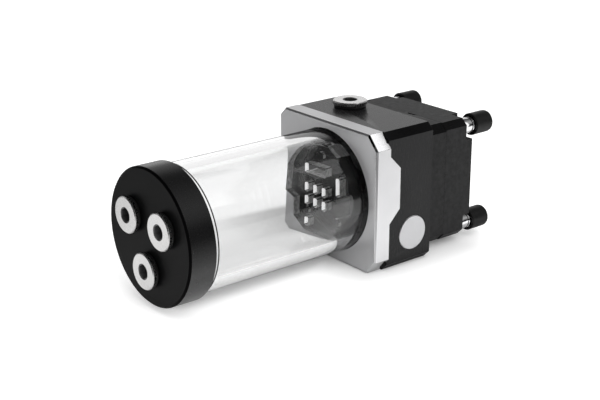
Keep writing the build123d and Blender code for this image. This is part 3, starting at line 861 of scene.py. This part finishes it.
def footColumns():
    # turned steel posts with a shallow groove near the housing and a blind hole in their front end
    start, end, side = foot["columnStart"], foot["columnEnd"], foot["column"]
    neck, cut, hole, depth = side - foot["groove"], foot["chamfer"], foot["hole"], start + foot["holeDepth"]
    corners = [(end, 0), (end, side - cut), (end - cut, side), (start + 6.3, side), (start + 6.15, neck),
               (start + 5.7, neck), (start + 5.55, side), (start + cut, side), (start, side - cut),
               (start, hole), (depth, hole), (depth, 0)]
    return atEachFoot(roundedProfile(corners, 0.08, 2, closed=False))


finish(surfacePiece("rubberFeet", rubberFeet()), "block", softRubber, ("rubber_feet",))
finish(surfacePiece("steelColumns", footColumns()), "block", polishedSteel,
       ("foot_columns",))
print("feet made")

# finishes of the plain nodes
nodeFinishes = {
    "cap_seal": sealRubber, "tube_seal": sealRubber, "volute_seal": sealRubber, "shell_screws": screwSteel,
    "baffle_posts": cutAcrylic, "impeller": wheelPlastic, "rotor_magnet": ferrite,
    "bearing_cup": bearingCarbon, "bearing_ball": bearingCeramic, "separator_can": canPlastic,
    "stator_core": coreSteel, "stator_coils": copperWire, "driver_board": circuitBoard,
    "board_parts": boardComponents, "cable_gland": softRubber, "pump_bolts": screwSteel,
}
replaced = {n for o in bpy.data.objects for n in o.get("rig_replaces", [])}
for nodeName, material in nodeFinishes.items():
    frame["nodes"][nodeName].data.materials.clear()
    frame["nodes"][nodeName].data.materials.append(material)
missing = set(frame["nodes"]) - set(nodeFinishes) - replaced
if missing:
    raise ValueError(f"nodes without a finish: {sorted(missing)}")

# floor, world, lamps
floorTone = {
    "size": 4.0,                                    # metres from the middle to each side
    "albedo": 0.88, "glassAlbedo": 0.3,             # light given back, to the eye and through the tube
    "near": 0.1, "far": 0.5, "distant": 0.6,        # lift for the lens: at the object, around it, far off
    "mirror": 0.12, "fore": 0.4,                    # lift seen in metal: all round, before the object
    "behind": 0.62, "horizon": 0.1, "fall": 0.042,  # tone kept in metal, and where its falling off begins, m
    "glassFront": 0.52, "glassBack": 0.83,          # lift seen through the tube
    "shade": 0.46, "shadeStart": 0.15,              # depth of the shaded strip, and its share by the cap
    "innerFront": 0.4, "innerBack": 0.68,           # lift of reflections inside the tube
    "front": 0.15, "dark": 0.02,                    # tone kept off the plate's front, and deeper in
}
floorZones = {  # metres over which the sheet passes from one tone to the next
    "behind": (-0.055, -0.025), "behindStart": (-0.045, -0.036), "horizon": (-0.5, -0.15),
    "beforeCap": (-0.06, -0.035), "strip": (0.012, 0.02), "plateStart": (-0.02, -0.008),
    "plateEnd": (0.022, 0.028), "plateSide": (0.007, 0.015), "distant": (0.4, 1.6), "glass": (-0.03, 0.07),
    "shadeStart": (0.016, 0.034), "shadeEnd": (0.066, 0.077), "shadeAlong": (-0.025, 0.035),
    "fore": (-0.05, -0.036), "inner": (-0.012, 0.012),
}
sightLines = {"sideX": 0.776, "sideY": 0.63, "plate": 1.231, "shade": 0.15}  # slopes on the floor
# the floor under the tube and under the block: middle and half length along it, half width, all in metres
tubePrint = {"middle": -0.034, "half": 0.038, "side": 0.002, "fade": 0.013}
blockPrint = {"middle": 0.042, "half": 0.030, "side": 0.030, "fade": 0.026}


def printDistance(tree, x, y, spec):
    # 0 on a rectangle of the floor, rising to 1 over the fade's width outside it
    dx = mathNode(tree, "ABSOLUTE", mathNode(tree, "SUBTRACT", x, spec["middle"]))
    dx = largest(tree, mathNode(tree, "SUBTRACT", dx, spec["half"]), 0.0)
    dy = largest(tree, mathNode(tree, "SUBTRACT", mathNode(tree, "ABSOLUTE", y), spec["side"]), 0.0)
    distance = mathNode(tree, "SQRT", mathNode(tree, "ADD", product(tree, dx, dx), product(tree, dy, dy)))
    return mapRange(tree, distance, 0.0, spec["fade"], 0.0, 1.0)


def zone(tree, value, name, first, last):
    return mapRange(tree, value, *floorZones[name], first, last)


def pastTube(tree, rays):
    # a ray that has crossed the four surfaces of the tube's two walls and nothing else
    return mathNode(tree, "COMPARE", rays["Transmission Depth"], 4.0, 0.6)


def metalLoss(tree, x, y):
    # what the sheet loses in metal: behind the object, at the horizon, and before the cap by 1 - fall / -y
    across = mathNode(tree, "MULTIPLY_ADD", x, sightLines["sideX"], product(tree, y, sightLines["sideY"]))
    behind = product(tree, zone(tree, across, "behind", 0.0, 1 - floorTone["behind"]),
                     zone(tree, y, "behindStart", 0.0, 1.0))
    reach = largest(tree, product(tree, y, -1.0), floorTone["fall"])
    faded = product(tree, inverse(tree, mathNode(tree, "DIVIDE", floorTone["fall"], reach)),
                    zone(tree, across, "beforeCap", 1.0, 0.0))
    return largest(tree, behind, faded, zone(tree, y, "horizon", 1 - floorTone["horizon"], 0.0))


def tubeLoss(tree, x, y, rays):
    # one bounce off the baffle or the block's floor sees a dark room behind the tube; light piped through
    # the baffle's plate leaves by its edge and sees the bright sheet
    once = mathNode(tree, "LESS_THAN", rays["Glossy Depth"], 1.5)
    deeper = mathNode(tree, "GREATER_THAN", rays["Transmission Depth"], 4.5)
    # reflections off the plate land in this band of the floor, light from its edge beyond it
    landing = mathNode(tree, "MULTIPLY_ADD", x, sightLines["plate"], y)
    band = product(tree, once, zone(tree, landing, "plateEnd", 1.0, 0.0),
                   zone(tree, x, "plateSide", 1.0, 0.0))
    front = product(tree, pastTube(tree, rays), band, zone(tree, landing, "plateStart", 0.0, 1.0),
                    1 - floorTone["front"])
    deep = product(tree, deeper, band, 1 - floorTone["dark"])
    return product(tree, zone(tree, y, "strip", 0.0, 1.0), largest(tree, front, deep))


def glassLift(tree, x, y):
    # the sheet seen through the tube, shaded in a slanting strip behind its block end
    slant = mathNode(tree, "MULTIPLY_ADD", x, sightLines["shade"], y)
    shade = product(tree, zone(tree, slant, "shadeStart", 0.0, floorTone["shade"]),
                    zone(tree, slant, "shadeEnd", 1.0, 0.0),
                    zone(tree, x, "shadeAlong", floorTone["shadeStart"], 1.0))
    plain = zone(tree, y, "glass", floorTone["glassFront"], floorTone["glassBack"])
    return mathNode(tree, "SUBTRACT", plain, shade)


def flatSheet(name, corners, material):
    mesh = bpy.data.meshes.new(name)
    mesh.from_pydata(corners, [], [(0, 1, 2, 3)])
    mesh.materials.append(material)
    sheet = bpy.data.objects.new(name, mesh)
    bpy.context.scene.collection.objects.link(sheet)
    return sheet


def studioFloor():
    # a flat sheet: lit white, with a small lift for the lens that grows away from the object's print
    material, tree, shader = newMaterial("paleFloor", {
        "Roughness": 1.0, "Specular IOR Level": 0.0, "Emission Color": (1, 1, 1, 1)})
    x, y = objectAxes(tree)[:2]
    rays = rayKinds(tree)
    # three kinds of ray: reflected, reflected and then out through the clear tube, and straight through it
    bounced = mathNode(tree, "MINIMUM", rays["Glossy Depth"], 1.0)
    inTube = product(tree, bounced, rays["Is Transmission Ray"])
    mirror = mathNode(tree, "SUBTRACT", product(tree, bounced, rays["Is Glossy Ray"]), inTube)
    through = mathNode(tree, "SUBTRACT", rays["Is Transmission Ray"], inTube)
    keep = inverse(tree, largest(tree, product(tree, inTube, tubeLoss(tree, x, y, rays)),
                                 product(tree, mirror, metalLoss(tree, x, y))))
    tone = mathNode(tree, "MULTIPLY_ADD", through, floorTone["glassAlbedo"] - floorTone["albedo"],
                    floorTone["albedo"])
    link(tree, product(tree, keep, tone), shader.inputs["Base Color"])
    away = mathNode(tree, "MINIMUM", printDistance(tree, x, y, tubePrint),
                    printDistance(tree, x, y, blockPrint))
    lens = mathNode(tree, "MULTIPLY_ADD", away, floorTone["far"] - floorTone["near"], floorTone["near"])
    reach = largest(tree, mathNode(tree, "ABSOLUTE", x), mathNode(tree, "ABSOLUTE", y))
    lens = mathNode(tree, "ADD", lens, zone(tree, reach, "distant", 0.0, floorTone["distant"]))
    metalLift = largest(tree, product(tree, away, floorTone["mirror"]),
                        zone(tree, y, "fore", floorTone["fore"], 0.0))
    inner = zone(tree, y, "inner", floorTone["innerFront"], floorTone["innerBack"])
    lift = largest(tree, product(tree, lens, rays["Is Camera Ray"]),
                   product(tree, glassLift(tree, x, y), through),
                   product(tree, metalLift, mirror, keep), product(tree, inner, inTube, keep))
    link(tree, lift, shader.inputs["Emission Strength"])
    half = floorTone["size"]
    corners = [(-half, -half, 0), (half, -half, 0), (half, half, 0), (-half, half, 0)]
    floor = flatSheet("studioFloor", corners, material)


tunnel = [  # the studio's reflected brightness by angle round the tube: 0 front, 90 overhead, 180 back
    (0, 0.04), (20, 0.04), (32, 0.3), (50, 0.42), (72, 0.28), (95, 0.1), (118, 0.1), (136, 0.85), (180, 1.0)]
room = {"turn": (-0.12, 0.15), "dark": 0.1, "soft": 0.42}  # the direction's x, from dark side to bright


def studioWorld():
    world = bpy.data.worlds.new("studioWorld")
    bpy.context.scene.world = world
    world.use_nodes = True
    tree = world.node_tree
    split = nodeIn(tree, "ShaderNodeSeparateXYZ")
    link(tree, nodeIn(tree, "ShaderNodeTexCoord").outputs["Generated"], split.inputs[0])
    x, y, z = split.outputs
    angle = mathNode(tree, "ARCTAN2", z, product(tree, y, -1.0))
    ramp = nodeIn(tree, "ShaderNodeValToRGB")
    link(tree, mathNode(tree, "DIVIDE", angle, tau / 2, clamp=True), ramp.inputs[0])
    stops = ramp.color_ramp.elements
    while len(stops) < len(tunnel):
        stops.new(0.5)
    for stop, (place, level) in zip(stops, tunnel):
        stop.position = place / 180
        stop.color = (*grey(level), 1)
    # the camera's side of the room, towards the cap, is dark, but for what the metal sees through the tube
    rays = rayKinds(tree)
    lit = largest(tree, mapRange(tree, x, *room["turn"], room["dark"], 1.0), pastTube(tree, rays))
    bounced = mathNode(tree, "MINIMUM", rays["Glossy Depth"], 1.0)
    straight = product(tree, rays["Is Transmission Ray"], inverse(tree, bounced))
    reflected = product(tree, ramp.outputs[0], bounced, lit)
    soft = product(tree, rays["Is Diffuse Ray"], room["soft"])
    total = largest(tree, reflected, soft, rays["Is Camera Ray"], straight)
    link(tree, total, tree.nodes["Background"].inputs["Color"])


cards = [  # small sheets that only mirrors see: over the silver corner, over the block's, beside the feet
    {"name": "whiteCard", "from": (0.040, -0.075, 0.105), "to": (0.073, -0.042, 0.150), "level": 1.25},
    {"name": "blackCard", "from": (0.074, -0.075, 0.105), "to": (0.112, -0.042, 0.150), "level": 0.0},
    {"name": "feetCard", "from": (0.118, -0.095, 0.040), "to": (0.134, -0.060, 0.135), "level": 1.3},
]


def reflectorCard(spec):
    (x0, y0, z0), (x1, y1, z1) = spec["from"], spec["to"]
    material = newMaterial(spec["name"], {
        "Base Color": (0, 0, 0, 1), "Roughness": 1.0, "Specular IOR Level": 0.0,
        "Emission Color": (1, 1, 1, 1), "Emission Strength": spec["level"]})[0]
    corners = [(x0, y0, z0), (x1, y0, z0), (x1, y1, z1), (x0, y1, z1)]
    card = flatSheet(spec["name"], corners, material)
    for kind in ("camera", "diffuse", "transmission", "shadow"):
        setattr(card, f"visible_{kind}", False)


lamps = [
    {"name": "overhead", "place": (0.0, 0.05, 1.1), "aim": (0.0, 0.0, 0.03), "size": 1.0, "level": 0.22},
    {"name": "frontSoft", "place": (-0.12, -0.85, 0.76), "aim": (0.0, 0, 0.02), "size": 0.9, "level": 0.62},
]


def softLamp(spec):
    # level is the tone that a white card facing the lamp would have:
    # power = level * pi^2 * (distance^2 + size^2 / 3)
    place, aim = Vector(spec["place"]), Vector(spec["aim"])
    data = bpy.data.lights.new(spec["name"], "AREA")
    data.shape = "SQUARE"
    data.size = spec["size"]
    distance = (place - aim).length
    data.energy = spec["level"] * np.pi ** 2 * (distance ** 2 + data.size ** 2 / 3)
    lamp = bpy.data.objects.new(spec["name"], data)
    bpy.context.scene.collection.objects.link(lamp)
    lamp.location = place
    lamp.rotation_euler = (aim - place).to_track_quat("-Z", "Y").to_euler()
    lamp.visible_glossy = False
    lamp.visible_transmission = False


studioFloor()
studioWorld()
for spec in lamps:
    softLamp(spec)
for spec in cards:
    reflectorCard(spec)
print("studio set")

# camera
view = {"azimuth": -39.106, "elevation": 19.675, "roll": -0.105, "distance": 610.117,
        "target": (-0.329, 6.114, 29.584), "focalPixels": 1271.741, "frameWidth": 600,
        "sensor": 36, "near": 0.01, "far": 20}  # degrees, mm, pixels, sensor mm, clipping m


def photoCamera():
    az, el, roll = radians(view["azimuth"]), radians(view["elevation"]), radians(view["roll"])
    back = np.array([np.sin(az) * np.cos(el), -np.cos(az) * np.cos(el), np.sin(el)])
    right = np.cross(-back, [0, 0, 1])
    right /= np.linalg.norm(right)
    up = np.cross(right, -back)
    turnedRight = right * np.cos(roll) + up * np.sin(roll)
    turnedUp = up * np.cos(roll) - right * np.sin(roll)
    data = bpy.data.cameras.new("photoCamera")
    data.sensor_width = view["sensor"]
    data.lens = view["sensor"] * view["focalPixels"] / view["frameWidth"]
    data.clip_start, data.clip_end = view["near"], view["far"]
    camera = bpy.data.objects.new("photoCamera", data)
    bpy.context.scene.collection.objects.link(camera)
    matrix = Matrix(np.column_stack([turnedRight, turnedUp, back]).tolist()).to_4x4()
    matrix.translation = Vector((np.array(view["target"]) + back * view["distance"]) * mm)
    camera.matrix_world = matrix
    bpy.context.scene.camera = camera


photoCamera()
bpy.context.scene.view_settings.view_transform = "Standard"
print("scene ready")
